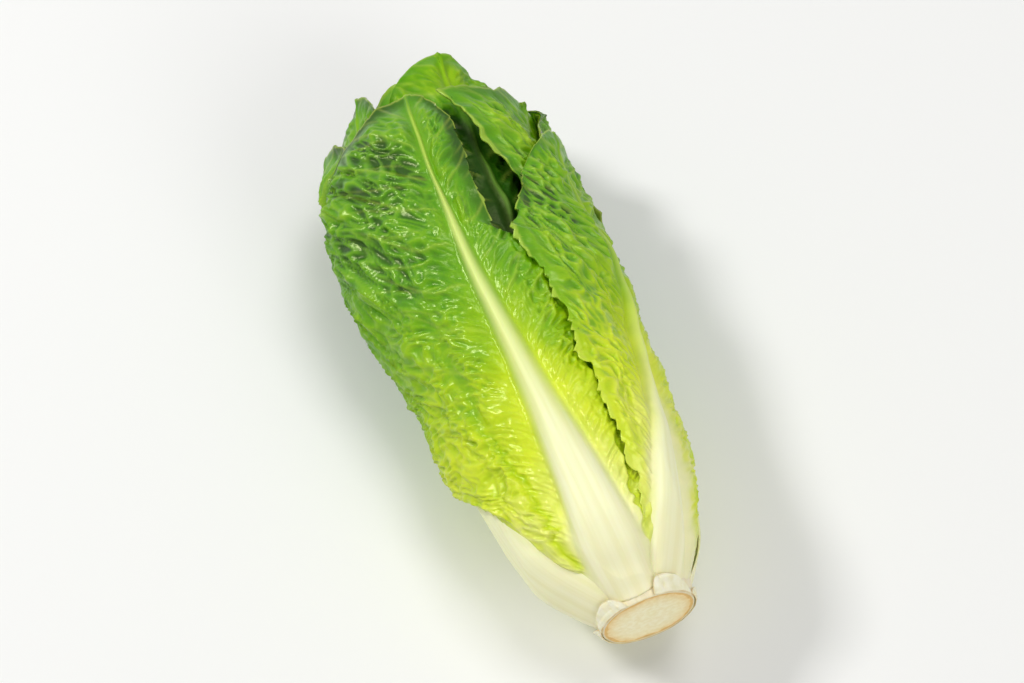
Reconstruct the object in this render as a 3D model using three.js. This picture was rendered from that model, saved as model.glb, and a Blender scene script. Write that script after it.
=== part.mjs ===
// A romaine heart lying on its side, in millimetres: +Z up, cut end towards -Y, leaf tips towards +Y.
//
// Every leaf grows from a short stem and lies on the leaves inside it. The head is laid leaf by leaf, from
// the heart outwards. A map holds how far from the axis the leaves laid so far reach. Each new leaf rests on
// that map with a little air under it, and its outer face then becomes part of the map, so no leaves meet.
import * as THREE from "three";

// ---- Driving dimensions ----
const HEAD_LENGTH = 255; // cut face to the longest tip
const CUT_RADIUS = 18; // the round cut face of the stem
const STEM_LENGTH = 52; // cut face to the growing point
const BLADE = 1.1; // leaf blade, as thick as its blisters make it
const AIR = 1.5; // between a leaf and what it lies on
const AIR_AT_BASE = 0.45; // the same where it grows out of the stem
const WIDER = 1.04; // the head is a little wider than it is high
const LOWER = 0.95;
const TILT = THREE.MathUtils.degToRad(1.5); // the slim cut end lies lower than the tips
const SAG = 6; // how much the underside flattens under the head's weight
const SAG_REACH = 30; // height of the band that flattens
const RESTING_CUT = 0.9; // depth of the flat patch on the underside
const GOLDEN_ANGLE = 137.5; // between one leaf and the next

// ---- Smooth curves through a few [position, value] knots ----
function profile(knots) {
  const slope = knots.map((_, i) => {
    const before = knots[Math.max(i - 1, 0)];
    const after = knots[Math.min(i + 1, knots.length - 1)];
    return (after[1] - before[1]) / (after[0] - before[0]);
  });
  return (x) => {
    const at = THREE.MathUtils.clamp(x, knots[0][0], knots.at(-1)[0]);
    const i = Math.max(knots.findLastIndex((k) => k[0] < at), 0);
    const [x0, y0] = knots[i];
    const [x1, y1] = knots[i + 1];
    const span = x1 - x0;
    const t = (at - x0) / span;
    const ease = t * t * (3 - 2 * t);
    const start = t * (1 - t) * (1 - t) * span * slope[i];
    const end = t * t * (1 - t) * span * slope[i + 1];
    return y0 + (y1 - y0) * ease + start - end;
  };
}

// Radius of the whole head at a distance along it from the cut face.
const headRadius = profile([
  [0, 18], [5, 19.5], [10, 22.8], [20, 29.6], [30, 35], [50, 40.3], [70, 42.6], [107, 45.6],
  [150, 48.6], [184, 47.8], [209, 44.6], [235, 37], [255, 29],
]);
// How far the head's axis bows sideways.
const bow = profile([
  [0, 0], [50, 0], [107, -3], [150, -5.5], [184, -7.3], [215, -5], [265, 2],
]);
// Radius of the stem, which ends in the growing point.
const stemRadius = profile([
  [0, CUT_RADIUS], [5, 18.8], [14, 19], [30, 12], [44, 5], [STEM_LENGTH, 1.5],
]);
// A leaf's half width and the thickness of its rib, as shares of the largest, from its base to its tip.
const leafWidth = profile([
  [0, 0.28], [0.08, 0.4], [0.2, 0.54], [0.4, 0.75], [0.6, 0.93], [0.76, 1], [0.9, 0.86], [1, 0.58],
]);
// The same for the front leaf, whose broad side wraps the left of the head and narrows late.
const frontWidth = profile([
  [0, 0.17], [0.03, 0.2], [0.065, 0.28], [0.115, 0.43], [0.18, 0.53], [0.22, 0.57], [0.27, 0.7],
  [0.33, 0.88], [0.41, 0.93], [0.6, 1], [0.7, 1], [0.8, 0.97], [0.9, 0.86], [1, 0.61],
]);
// Its narrow side, which draws back beside the rib before the top.
const frontNarrowWidth = profile([
  [0, 0.17], [0.03, 0.2], [0.065, 0.28], [0.115, 0.43], [0.18, 0.53], [0.22, 0.57], [0.27, 0.7],
  [0.33, 0.88], [0.41, 0.93], [0.6, 1], [0.67, 0.9], [0.76, 0.42], [0.84, 0.34], [1, 0.3],
]);
// A leaf that stays narrow and is broadest at its top.
const lateWidth = profile([
  [0, 0.28], [0.1, 0.42], [0.3, 0.5], [0.6, 0.58], [0.75, 0.66], [0.83, 0.8], [0.95, 0.94], [1, 0.95],
]);
// The same half width for a leaf base that was trimmed off: broad where it was cut, then a point.
const trimmedWidth = profile([
  [0, 1], [0.35, 0.9], [0.7, 0.62], [1, 0.26],
]);
const ribThickness = profile([
  [0, 0.12], [0.035, 0.6], [0.08, 1], [0.25, 0.84], [0.5, 0.5], [0.75, 0.22], [1, 0.06],
]);
const ribWidth = profile([
  [0, 0.8], [0.08, 1], [0.25, 0.84], [0.5, 0.5], [0.75, 0.24], [1, 0.12],
]);
const TIP_ROUNDING = 0.1; // how far the leaf's top corners lie below its tip, as a share of its length
const MOST_WRAP = 1.65; // a leaf reaches at most this far round each side, in radians

// ---- The leaves, from the outermost inwards ----
// around: where the rib's foot lies, in degrees from the right side over the top. lean: how far the rib
// moves round on its way up. base and tip: along the head. half: largest half width. low: the share of it on
// the rib's clockwise side, which can have an outline of its own. rib: thickest rib. ribHalf: its half
// width. shell: the leaf's place between the axis and the head's outer radius. flare: how far the tip turns
// out. colour: halfway up the leaf.
const GREEN = { outer: 0x6fae2c, mid: 0x9dcb45, pale: 0xcfe07a, heart: 0xe6e69a };
const outerLeaf = { lean: 0, low: 1, colour: GREEN.outer, rows: 16, columns: 12, outline: leafWidth };
const frontOutlines = { outline: frontWidth, lowOutline: frontNarrowWidth };
const outerLeaves = [
  {
    name: "bottom_leaf", around: 282, base: 7, tip: 236,
    half: 60, rib: 6, ribHalf: 14, shell: 0.97, flare: 2,
  },
  {
    name: "right_leaf", around: 56, lean: -32, base: 6, tip: 199,
    half: 46, rib: 6, ribHalf: 14, shell: 0.93, flare: 2, columns: 14,
  },
  {
    name: "front_leaf", around: 105, base: 6, tip: 231, ...frontOutlines,
    half: 72, low: 0.56, rib: 7, ribHalf: 15, shell: 0.93, flare: 0, rows: 22, columns: 16,
  },
  {
    name: "left_leaf", around: 167, lean: 16, base: 6, tip: 238,
    half: 52, rib: 6, ribHalf: 14, shell: 0.9, flare: 3,
  },
  {
    name: "lower_right_leaf", around: 322, base: 8, tip: 244,
    half: 52, rib: 5.5, ribHalf: 13, shell: 0.88, flare: 5,
  },
  {
    name: "lower_left_leaf", around: 228, base: 9, tip: 242,
    half: 54, rib: 5, ribHalf: 12, shell: 0.85, flare: 5,
  },
  {
    name: "upper_right_leaf", around: 20, base: 10, tip: 220, outline: lateWidth,
    half: 42, rib: 5, ribHalf: 12, shell: 0.85, flare: 2,
  },
  {
    name: "upper_left_leaf", around: 150, base: 11, tip: 250,
    half: 54, low: 0.6, rib: 4.5, ribHalf: 11, shell: 0.8, flare: 7,
  },
].map((leaf) => ({ ...outerLeaf, ...leaf }));

const INNER_LEAVES = 13;
const innerLeaves = Array.from({ length: INNER_LEAVES }, (_, i) => {
  const inward = (i + 1) / INNER_LEAVES; // 0 just inside the outer leaves, 1 at the growing point
  return {
    name: i < 6 ? "inner_leaf_" + (i + 1) : "heart_leaf_" + (i - 5),
    around: 150 + GOLDEN_ANGLE * (i + 1),
    lean: 0,
    base: 11 + 30 * inward,
    tip: 252 - 12 * inward - 96 * inward ** 3,
    half: 48 - 24 * inward,
    low: 1,
    rib: 4 - 2.5 * inward,
    ribHalf: 10 - 6 * inward,
    shell: 0.77 - 0.6 * inward,
    flare: 6 * (1 - inward),
    colour: i < 4 ? GREEN.mid : i < 9 ? GREEN.pale : GREEN.heart,
    rows: 12,
    columns: 6,
    outline: leafWidth,
  };
});

// The bases of the outer leaves that were trimmed off: a low collar round the cut face.
const TRIMMED_BASES = 5;
const trimmedBases = Array.from({ length: TRIMMED_BASES }, (_, i) => ({
  name: "trimmed_leaf_base_" + (i + 1),
  around: 68 + (360 / TRIMMED_BASES) * i,
  lean: 0,
  base: 0.8,
  tip: 6.2 + 0.8 * Math.sin(2 * i),
  half: 10.8,
  low: 1,
  rib: 1.2,
  ribHalf: 11,
  shell: 0,
  flare: 0,
  colour: 0xf3ead0,
  rows: 3,
  columns: 6,
  outline: trimmedWidth,
}));

// ---- How far out the leaves laid so far reach ----
const MAP_ANGLES = 120;
const MAP_STEP = 2.5; // along the head
const MAP_ROWS = Math.ceil(HEAD_LENGTH / MAP_STEP) + 4;
const mapAngle = (column) => (column / MAP_ANGLES) * 2 * Math.PI;
const cell = (row, column) => {
  const wrapped = ((column % MAP_ANGLES) + MAP_ANGLES) % MAP_ANGLES;
  return THREE.MathUtils.clamp(row, 0, MAP_ROWS - 1) * MAP_ANGLES + wrapped;
};

function emptyHead() {
  const reach = new Float64Array(MAP_ROWS * MAP_ANGLES);
  return reach.map((_, i) => stemRadius(Math.floor(i / MAP_ANGLES) * MAP_STEP));
}

// A map's value at an angle and a distance along the head.
function read(map, angle, along) {
  const x = (angle / (2 * Math.PI)) * MAP_ANGLES;
  const y = THREE.MathUtils.clamp(along / MAP_STEP, 0, MAP_ROWS - 1);
  const column = Math.floor(x);
  const row = Math.floor(y);
  const lerp = THREE.MathUtils.lerp;
  const low = lerp(map[cell(row, column)], map[cell(row, column + 1)], x - column);
  const high = lerp(map[cell(row + 1, column)], map[cell(row + 1, column + 1)], x - column);
  return lerp(low, high, y - row);
}

// One pass over a map, in which each cell takes something of its neighbours.
function passOver(map, roundCells, alongCells, combine) {
  return map.map((_, i) => {
    const row = Math.floor(i / MAP_ANGLES);
    const near = [];
    for (let a = -alongCells; a <= alongCells; a++) {
      for (let r = -roundCells; r <= roundCells; r++) near.push(map[cell(row + a, (i % MAP_ANGLES) + r)]);
    }
    return combine(near);
  });
}

// The smooth surface that a new leaf settles on: it spans the hollows and clears every rib and margin.
function bedOn(reach) {
  const spanned = passOver(reach, 4, 2, (near) => Math.max(...near));
  return passOver(spanned, 3, 1, (near) => near.reduce((sum, r) => sum + r, 0) / near.length);
}

// What a trimmed leaf base lies on: it hugs the stem and the foot of each leaf.
function skinOf(reach) {
  return passOver(reach, 3, 1, (near) => Math.max(...near));
}

// ---- One leaf ----
const smooth = (t) => THREE.MathUtils.smoothstep(t, 0, 1);

// The angle of the leaf's rib at a share u of its length.
const ribAngle = (leaf, u) => THREE.MathUtils.degToRad(leaf.around + leaf.lean * smooth(1.6 * u));

// The leaf's half width there on one side of its rib: side is negative on the clockwise side.
function halfWidth(leaf, u, side) {
  const outline = side < 0 && leaf.lowOutline ? leaf.lowOutline : leaf.outline;
  return outline(u) * leaf.half * (side < 0 ? leaf.low : 1);
}

// The angle that this half width spans.
function halfAngle(leaf, u, along, side) {
  const radius = Math.max(headRadius(along) * Math.max(leaf.shell, 0.4), CUT_RADIUS);
  return Math.min(halfWidth(leaf, u, side) / radius, MOST_WRAP);
}

// The leaf's own blade and rib at share u of its length and v of its half width.
function thickness(leaf, u, v) {
  const fromRib = Math.abs(v) * halfWidth(leaf, u, v);
  const across = Math.min(fromRib / (leaf.ribHalf * ribWidth(u)), 1);
  return BLADE * smooth(0.4 + 8 * u) + leaf.rib * ribThickness(u) * (1 - across * across) ** 2;
}

// Radius of the leaf's inner face.
function innerRadius(leaf, bed, angle, u, along) {
  const shell = leaf.shell * headRadius(along) - 2 * BLADE + leaf.flare * smooth((u - 0.72) / 0.28);
  const air = THREE.MathUtils.lerp(AIR_AT_BASE, AIR, smooth(u * 10));
  return Math.max(read(bed, angle, along) + air, shell * smooth(u * 24));
}

// Rows lie closer together near a leaf's base and tip. crowd and spread turn each share into the other.
const CROWDING = 1.35;
const blend = (t, power) => t ** power / (t ** power + (1 - t) ** power);
const crowd = (t) => blend(t, CROWDING);
const spread = (u) => blend(u, 1 / CROWDING);

// The stations of a leaf: rows from its base to its tip, and columns across it.
function layLeaf(leaf, bed) {
  const grid = [];
  for (let row = 0; row <= leaf.rows; row++) {
    for (let column = 0; column <= leaf.columns; column++) {
      const u = crowd(row / leaf.rows);
      const v = (2 * column) / leaf.columns - 1;
      const along = leaf.base + (leaf.tip - leaf.base) * (u - TIP_ROUNDING * v * v * u ** 3);
      const angle = ribAngle(leaf, u) + v * halfAngle(leaf, u, along, v);
      const inner = innerRadius(leaf, bed, angle, u, along);
      grid.push({ angle, along, inner, outer: inner + thickness(leaf, u, v) });
    }
  }
  return grid;
}

// Adds a laid leaf's outer face to the map.
function record(leaf, grid, reach) {
  const wide = leaf.columns + 1;
  const lerp = THREE.MathUtils.lerp;
  return reach.map((before, i) => {
    const along = Math.floor(i / MAP_ANGLES) * MAP_STEP;
    const angle = mapAngle(i % MAP_ANGLES);
    const straight = (along - leaf.base) / (leaf.tip - leaf.base);
    let u = straight;
    let v = 0;
    for (let pass = 0; pass < 12; pass++) {
      const share = THREE.MathUtils.clamp(u, 0, 1);
      const turn = angle - ribAngle(leaf, share);
      const off = Math.atan2(Math.sin(turn), Math.cos(turn));
      v = off / halfAngle(leaf, share, along, off);
      u = lerp(u, straight + TIP_ROUNDING * Math.min(v * v, 1) * share ** 3, 0.4);
    }
    if (u < 0 || u > 1 || Math.abs(v) > 1) return before;
    const y = leaf.rows * spread(u);
    const x = ((v + 1) / 2) * leaf.columns;
    const row = Math.min(Math.floor(y), leaf.rows - 1);
    const column = Math.min(Math.floor(x), leaf.columns - 1);
    const outer = (r, c) => grid[(row + r) * wide + column + c].outer;
    const low = lerp(outer(0, 0), outer(0, 1), x - column);
    const high = lerp(outer(1, 0), outer(1, 1), x - column);
    return Math.max(before, lerp(low, high, y - row));
  });
}

// From the head's own axis, angle and radius to a place on the table.
function place(angle, along, radius) {
  const point = new THREE.Vector3(
    radius * Math.cos(angle) * WIDER + bow(along),
    along - HEAD_LENGTH / 2,
    radius * Math.sin(angle) * LOWER,
  );
  return point.applyAxisAngle(new THREE.Vector3(1, 0, 0), TILT);
}

// A leaf as one closed solid: an outer face, an inner face and the edge that joins them.
function leafGeometry(leaf, grid) {
  const { rows, columns } = leaf;
  const outside = grid.flatMap(({ angle, along, outer }) => place(angle, along, outer).toArray());
  const inside = grid.flatMap(({ angle, along, inner }) => place(angle, along, inner).toArray());
  const at = (side, row, column) => side * grid.length + row * (columns + 1) + column;
  const faces = [];
  const quad = (a, b, c, d) => faces.push(a, b, c, a, c, d);
  for (let row = 0; row < rows; row++) {
    for (let column = 0; column < columns; column++) {
      quad(at(0, row, column), at(0, row, column + 1), at(0, row + 1, column + 1), at(0, row + 1, column));
      quad(at(1, row, column), at(1, row + 1, column), at(1, row + 1, column + 1), at(1, row, column + 1));
    }
    quad(at(0, row, 0), at(0, row + 1, 0), at(1, row + 1, 0), at(1, row, 0));
    quad(at(0, row, columns), at(1, row, columns), at(1, row + 1, columns), at(0, row + 1, columns));
  }
  for (let column = 0; column < columns; column++) {
    quad(at(0, 0, column), at(1, 0, column), at(1, 0, column + 1), at(0, 0, column + 1));
    quad(at(0, rows, column), at(0, rows, column + 1), at(1, rows, column + 1), at(1, rows, column));
  }
  const geometry = new THREE.BufferGeometry();
  geometry.setAttribute("position", new THREE.Float32BufferAttribute(outside.concat(inside), 3));
  geometry.setIndex(faces.reverse());
  return geometry;
}

// ---- The stem ----
function stemGeometry() {
  const outline = [new THREE.Vector2(0, 0), new THREE.Vector2(CUT_RADIUS - 0.8, 0)];
  const STATIONS = 12;
  for (let i = 0; i <= STATIONS; i++) {
    const along = 0.8 + (STEM_LENGTH - 0.8) * (i / STATIONS);
    outline.push(new THREE.Vector2(stemRadius(along), along));
  }
  outline.push(new THREE.Vector2(0, STEM_LENGTH + 1));
  const geometry = new THREE.LatheGeometry(outline, 36);
  const position = geometry.attributes.position;
  for (let i = 0; i < position.count; i++) {
    const radius = Math.hypot(position.getX(i), position.getZ(i));
    const angle = Math.atan2(position.getZ(i), position.getX(i));
    position.setXYZ(i, ...place(angle, position.getY(i), radius).toArray());
  }
  return geometry;
}

// ---- The head ----
const head = new THREE.Group();

function addPiece(name, geometry, colour, roughness) {
  const material = new THREE.MeshStandardMaterial({ color: colour, roughness, metalness: 0 });
  const mesh = new THREE.Mesh(geometry, material);
  mesh.name = name;
  head.add(mesh);
}

addPiece("stem", stemGeometry(), 0xefe3bd, 0.6);
let reach = emptyHead();
for (const leaf of [...outerLeaves, ...innerLeaves].reverse()) {
  const grid = layLeaf(leaf, bedOn(reach));
  addPiece(leaf.name, leafGeometry(leaf, grid), leaf.colour, 0.4);
  reach = record(leaf, grid, reach);
}
for (const leaf of trimmedBases) {
  addPiece(leaf.name, leafGeometry(leaf, layLeaf(leaf, skinOf(reach))), leaf.colour, 0.5);
}

// The weight flattens the underside: what is low moves up, the lowest most, and it rests on a flat patch.
const everyPlace = head.children.map((mesh) => mesh.geometry.attributes.position);
const heights = everyPlace.flatMap((p) => Array.from({ length: p.count }, (_, i) => p.getZ(i)));
const lowest = Math.min(...heights);
const table = lowest + SAG + RESTING_CUT;
for (const position of everyPlace) {
  for (let i = 0; i < position.count; i++) {
    const above = THREE.MathUtils.clamp((position.getZ(i) - lowest) / SAG_REACH, 0, 1);
    const settled = position.getZ(i) + SAG * (1 - above) ** 2;
    position.setZ(i, Math.max(settled, table));
  }
}

// The origin is on the table, under the middle of the head.
const box = new THREE.Box3().setFromObject(head);
const middle = box.getCenter(new THREE.Vector3());
head.position.set(-middle.x, -middle.y, -box.min.z);
for (const mesh of head.children) mesh.geometry.computeVertexNormals();

export default head;
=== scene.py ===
"""A romaine heart lying on its side.

Metres in the scene, millimetres while the leaves are laid. Every leaf starts as a flat grid and is laid
round the head from the heart outwards, each on the leaves inside it, as in the part's own source. Its
blisters, veins, rib and teeth are real shapes.
"""
import math
from types import SimpleNamespace

import bpy
import numpy as np
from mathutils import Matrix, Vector

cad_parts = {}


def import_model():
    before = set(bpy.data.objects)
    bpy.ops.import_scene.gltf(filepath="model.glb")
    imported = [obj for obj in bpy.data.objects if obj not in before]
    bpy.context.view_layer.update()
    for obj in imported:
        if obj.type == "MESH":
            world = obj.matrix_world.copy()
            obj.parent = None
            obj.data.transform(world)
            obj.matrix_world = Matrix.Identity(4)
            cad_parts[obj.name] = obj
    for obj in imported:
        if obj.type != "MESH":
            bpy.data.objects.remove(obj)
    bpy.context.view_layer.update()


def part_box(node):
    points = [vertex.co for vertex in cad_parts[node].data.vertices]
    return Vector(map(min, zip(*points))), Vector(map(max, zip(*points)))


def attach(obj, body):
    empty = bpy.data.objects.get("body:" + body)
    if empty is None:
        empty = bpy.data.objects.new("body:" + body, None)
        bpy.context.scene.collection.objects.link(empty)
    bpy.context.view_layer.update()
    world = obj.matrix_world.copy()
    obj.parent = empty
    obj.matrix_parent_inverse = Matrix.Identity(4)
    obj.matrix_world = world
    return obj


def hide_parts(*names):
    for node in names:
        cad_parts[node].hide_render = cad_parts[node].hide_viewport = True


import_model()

MM = 0.001

# ---- The head, in millimetres ----
HEAD_LENGTH = 255.0  # cut face to the longest tip
CUT_RADIUS = 17.3  # the round cut face of the stem
STEM_LENGTH = 52.0  # cut face to the growing point
BLADE = 0.7  # thickness of a leaf beside its rib
AIR = 0.6  # between a leaf and the ones inside it
AIR_AT_BASE = 0.25
WIDER = 1.04  # the head is a little wider than it is high
LOWER = 0.95
TILT = math.radians(1.5)  # the slim cut end lies lower than the tips
SAG = 6.0  # how much the underside flattens under the head's weight
SAG_REACH = 30.0  # height of the band that flattens
RESTING_CUT = 0.9  # depth of the flat patch on the underside
GOLDEN_ANGLE = 137.5  # degrees from each leaf to the next one inwards
TIP_ROUNDING = 0.1  # how much shorter a leaf is at its sides than at its rib
MOST_WRAP = 1.65  # radians that a leaf reaches round the head on each side of its rib


def smooth(t):
    """From 0 to 1, with a gentle start and end."""
    t = np.clip(t, 0.0, 1.0)
    return t * t * (3 - 2 * t)


def step(low, high, x):
    """0 up to low, 1 from high on. With low above high it falls instead."""
    return smooth((x - low) / (high - low))


def profile(knots):
    """A smooth curve through [position, value] knots."""
    xs = np.array([k[0] for k in knots], float)
    ys = np.array([k[1] for k in knots], float)
    before = np.maximum(np.arange(len(xs)) - 1, 0)
    after = np.minimum(np.arange(len(xs)) + 1, len(xs) - 1)
    slope = (ys[after] - ys[before]) / (xs[after] - xs[before])

    def value(x):
        x = np.clip(x, xs[0], xs[-1])
        i = np.clip(np.searchsorted(xs, x, side="left") - 1, 0, len(xs) - 2)
        span = xs[i + 1] - xs[i]
        t = (x - xs[i]) / span
        ease = t * t * (3 - 2 * t)
        start = t * (1 - t) ** 2 * span * slope[i]
        end = t * t * (1 - t) * span * slope[i + 1]
        return ys[i] + (ys[i + 1] - ys[i]) * ease + start - end

    return value


# At a distance along the head from the cut face: the whole head's radius, how far its axis bows sideways,
# and the radius of the stem, which ends in the growing point.
head_radius = profile([
    (0, 18), (5, 19.5), (10, 22.8), (20, 29.6), (30, 35), (50, 40.3), (70, 42.6), (107, 45.6),
    (150, 48.6), (184, 47.8), (209, 44.6), (235, 37), (255, 29),
])
bow = profile([(0, 0), (50, 0), (107, -3), (150, -5.5), (184, -7.3), (215, -5), (265, 2)])
stem_radius = profile([(0, CUT_RADIUS), (5, 18.4), (14, 19), (30, 12), (44, 5), (STEM_LENGTH, 1.5)])
# A leaf's half width as a share of its largest, from its base to its tip. The front, right and upper right
# leaves have outlines of their own, and the right leaf's clockwise side is broader at its foot.
leaf_width = profile([
    (0, 0.28), (0.08, 0.4), (0.2, 0.54), (0.4, 0.75), (0.6, 0.93), (0.76, 1), (0.9, 0.86), (1, 0.58),
])
front_width = profile([
    (0, 0.17), (0.03, 0.2), (0.06, 0.26), (0.115, 0.37), (0.187, 0.47), (0.23, 0.56), (0.27, 0.68),
    (0.33, 0.87), (0.41, 0.93), (0.6, 1), (0.7, 1), (0.8, 0.97), (0.9, 0.86), (1, 0.61),
])
right_width = profile([
    (0, 0.13), (0.04, 0.15), (0.1, 0.19), (0.2, 0.31), (0.29, 0.44), (0.4, 0.6), (0.5, 0.73), (0.66, 0.83),
    (0.82, 0.9), (0.91, 0.7), (0.98, 0.56), (1, 0.5),
])
right_low_width = profile([
    (0, 0.28), (0.08, 0.36), (0.14, 0.42), (0.2, 0.48), (0.3, 0.56), (0.4, 0.64), (0.6, 0.75), (0.8, 0.8),
    (1, 0.45),
])
upper_right_width = profile([
    (0, 0.28), (0.1, 0.42), (0.3, 0.5), (0.6, 0.55), (0.75, 0.58), (0.84, 0.68), (0.95, 0.88), (1, 0.92),
])
trimmed_width = profile([(0, 1), (0.35, 0.9), (0.7, 0.62), (1, 0.26)])
# The thickness and the half width of its rib, also as shares of the largest.
rib_thickness = profile([
    (0, 0.12), (0.035, 0.6), (0.08, 1), (0.25, 0.84), (0.5, 0.5), (0.75, 0.22), (1, 0.06),
])
rib_width = profile([
    (0, 0.85), (0.08, 1), (0.25, 0.84), (0.45, 0.5), (0.62, 0.3), (0.72, 0.18), (0.8, 0.09), (0.88, 0.05),
    (1, 0.035),
])

# ---- Chance, the same on every run ----
CHANCE_CELLS = 128
CHANCE = np.random.default_rng(11).random((14, CHANCE_CELLS, CHANCE_CELLS))


def wander(x, y, layer):
    """Smooth noise from -1 to 1, one swing a unit."""
    i = np.floor(x).astype(int)
    j = np.floor(y).astype(int)
    a = smooth(x - i)
    b = smooth(y - j)
    left, right = i % CHANCE_CELLS, (i + 1) % CHANCE_CELLS
    low, high = j % CHANCE_CELLS, (j + 1) % CHANCE_CELLS
    chance = CHANCE[layer]
    near = chance[left, low] * (1 - a) + chance[right, low] * a
    far = chance[left, high] * (1 - a) + chance[right, high] * a
    return 2 * (near * (1 - b) + far * b) - 1


def blisters(x, y, layer, order=0.8):
    """How far a place is from the edge of its blister (0 on the vein), one blister a unit."""
    i = np.floor(x).astype(int)
    j = np.floor(y).astype(int)
    first = np.full(x.shape, 9.0)
    second = np.full(x.shape, 9.0)
    for di in (-1, 0, 1):
        for dj in (-1, 0, 1):
            ci = (i + di) % CHANCE_CELLS
            cj = (j + dj) % CHANCE_CELLS
            px = i + di + 0.5 + order * (CHANCE[layer][ci, cj] - 0.5)
            py = j + dj + 0.5 + order * (CHANCE[layer + 1][ci, cj] - 0.5)
            far = np.hypot(px - x, py - y)
            second = np.minimum(second, np.maximum(first, far))
            first = np.minimum(first, far)
    return second - first


# ---- How far out the leaves laid so far reach: a map of rows along the head and columns round it ----
MAP_ANGLES = 240
MAP_STEP = 1.25
MAP_ROWS = int(HEAD_LENGTH / MAP_STEP) + 8


def empty_head():
    """The map before any leaf is laid: the bare stem."""
    along = np.arange(MAP_ROWS) * MAP_STEP
    return np.repeat(stem_radius(along)[:, None], MAP_ANGLES, axis=1)


def read(reach, angle, along):
    """The radius at these places of the map, between its cells."""
    x = angle / (2 * math.pi) * MAP_ANGLES
    y = np.clip(along / MAP_STEP, 0, MAP_ROWS - 1.001)
    column = np.floor(x).astype(int)
    row = np.floor(y).astype(int)
    across = x - column
    up = y - row
    left = column % MAP_ANGLES
    right = (column + 1) % MAP_ANGLES
    low = reach[row, left] * (1 - across) + reach[row, right] * across
    high = reach[row + 1, left] * (1 - across) + reach[row + 1, right] * across
    return low * (1 - up) + high * up


def pass_over(reach, round_cells, along_cells, combine):
    """Each cell takes something of its neighbours, first round the head, then along it."""
    turned = [np.roll(reach, k, axis=1) for k in range(-round_cells, round_cells + 1)]
    reach = combine(np.stack(turned), axis=0)
    padded = np.pad(reach, ((along_cells, along_cells), (0, 0)), mode="edge")
    shifted = [padded[k:k + MAP_ROWS] for k in range(2 * along_cells + 1)]
    return combine(np.stack(shifted), axis=0)


def bed_on(reach):
    """The smooth surface that a new leaf settles on."""
    return pass_over(pass_over(reach, 4, 3, np.max), 4, 3, np.mean)


def skin_of(reach):
    """What a trimmed leaf base lies on: it hugs the stem and the foot of each leaf."""
    return pass_over(reach, 3, 1, np.max)


def record(reach, angle, along, outer):
    """Adds a laid leaf's outer face to the map."""
    column = np.round(angle / (2 * math.pi) * MAP_ANGLES).astype(int) % MAP_ANGLES
    row = np.clip(np.round(along / MAP_STEP).astype(int), 0, MAP_ROWS - 1)
    new = reach.copy()
    np.maximum.at(new, (row.ravel(), column.ravel()), outer.ravel())
    return new


def place(angle, along, radius):
    """From the head's own axis, angle and radius to a place over the table."""
    x = radius * np.cos(angle) * WIDER + bow(along)
    y = along - HEAD_LENGTH / 2
    z = radius * np.sin(angle) * LOWER
    c, s = math.cos(TILT), math.sin(TILT)
    return np.stack([x, y * c - z * s, y * s + z * c], axis=-1)


# ---- The leaves, from the outermost inwards ----
# Place and shape, in the same terms as the part's own source. around: where the rib's foot lies, in degrees
# from the right side over the top. lean: how far the rib moves round on its way up. base and tip: along the
# head. half: largest half width. low: the share of it on the rib's clockwise side. rib: thickest rib.
# rib_half: its half width. shell: the leaf's place between the axis and the head's outer radius. flare: how
# far the tip turns out.
# Finer shape. turn: degrees that the upper part moves on. rounding: how far the top corners lie below the
# tip, and slant: how far the clockwise one lies below that, as shares of the length. petiole: smooth pale
# width beside the rib's foot, on the clockwise side, or below nothing on the other one. tooth and lobe:
# depth of the margin's teeth and scallops. frill: how far the margin waves. dimples: depth of the hollows
# between small veins. valley: height of the cushions beside the rib. veins: from one side vein to the next.
# worm: depth of the fine crinkle. shown: below this share of its length the leaf is hidden and stays smooth.
# Colour. green: darker, or below nothing paler, than the front leaf. tip_light: how much paler its tip is.
# pale: how far the rib takes the blade's colour.
# rows and columns: the grid of the outer face.
OUTER = dict(lean=0, turn=0, low=1, rows=240, columns=90, outline=leaf_width, rounding=TIP_ROUNDING, slant=0,
             petiole=0, green=0.0, tooth=1.2, lobe=1.2, frill=1.5, dimples=0.3, valley=0.4, veins=13.0,
             worm=1.0, pale=0, shown=0, tip_light=0)
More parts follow.
